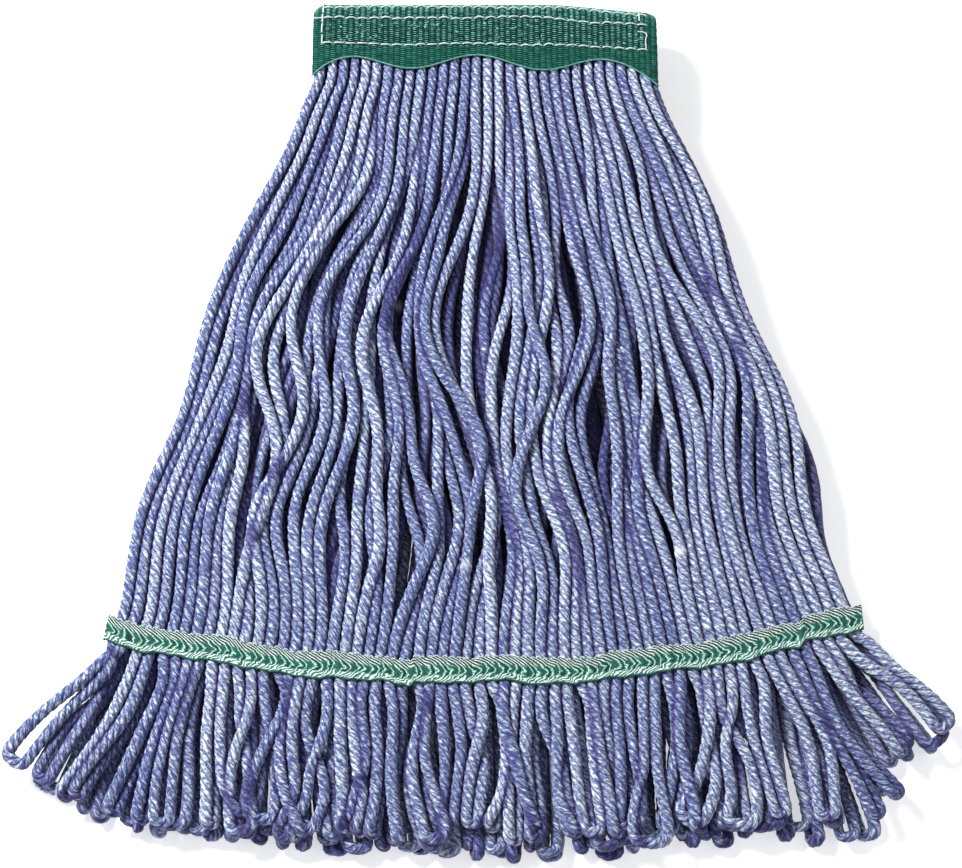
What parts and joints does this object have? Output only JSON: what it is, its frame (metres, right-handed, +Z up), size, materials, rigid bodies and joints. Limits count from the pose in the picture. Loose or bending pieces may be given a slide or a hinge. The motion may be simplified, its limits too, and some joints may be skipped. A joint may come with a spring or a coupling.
{
  "type": "string mop head",
  "caption": "Looped-end string mop head: a flared yarn skirt sewn in a woven mesh headband, bound by a tail tape and folded in half.",
  "frame": {"origin": "centre of the mop's outline in plan, on the floor that it lies on", "axes": "+X across the mop, +Y from the fringe to the headband, +Z up; the mop lies folded in half"},
  "size_m": [0.4363, 0.4358, 0.0398],
  "materials": {
    "yarn": "heathered blue and white four-ply cotton-blend yarn, matt and slightly fuzzy",
    "headband_mesh": "open woven green mesh tape, slight sheen",
    "tail_tape": "green and white chevron-woven tape",
    "stitch_thread": "white polyester sewing thread"
  },
  "bodies": {
    "lower_headband": {"lower_outer_mesh": "headband_mesh", "lower_inner_mesh": "headband_mesh", "lower_band_yarn": "yarn", "lower_hem_stitches": "stitch_thread", "fold_mesh": "headband_mesh", "fold_yarn": "yarn", "fold_stitches": "stitch_thread"},
    "upper_headband": {"upper_outer_mesh": "headband_mesh", "upper_inner_mesh": "headband_mesh", "upper_band_yarn": "yarn", "upper_hem_stitches": "stitch_thread"},
    "upper_skirt": {"upper_lock_1": "yarn", "upper_lock_2": "yarn", "upper_lock_3": "yarn", "upper_lock_4": "yarn", "upper_lock_5": "yarn", "upper_lock_6": "yarn", "upper_lock_7": "yarn", "upper_lock_8": "yarn", "upper_lock_9": "yarn", "upper_lock_10": "yarn", "upper_outer_tape": "tail_tape", "upper_inner_tape": "tail_tape", "upper_tape_ties": "stitch_thread"},
    "lower_skirt": {"lower_lock_1": "yarn", "lower_lock_2": "yarn", "lower_lock_3": "yarn", "lower_lock_4": "yarn", "lower_lock_5": "yarn", "lower_lock_6": "yarn", "lower_lock_7": "yarn", "lower_lock_8": "yarn", "lower_lock_9": "yarn", "lower_lock_10": "yarn", "lower_outer_tape": "tail_tape", "lower_inner_tape": "tail_tape", "lower_tape_ties": "stitch_thread"}
  },
  "joints": [
    {"name": "headband_fold", "type": "hinge", "parent": "lower_headband", "child": "upper_headband", "pos_m": [0, 0.199, 0.0199], "axis": [-1, 0, 0], "range_deg": [0, 180], "deforming": ["fold_mesh", "fold_yarn", "fold_stitches"]},
    {"name": "upper_skirt_bend", "type": "hinge", "parent": "upper_headband", "child": "upper_skirt", "pos_m": [0, 0.167, 0.0379], "axis": [1, 0, 0], "range_deg": [-90, 0]},
    {"name": "lower_skirt_bend", "type": "hinge", "parent": "lower_headband", "child": "lower_skirt", "pos_m": [0, 0.167, 0.0019], "axis": [-1, 0, 0], "range_deg": [-90, 0]}
  ]
}
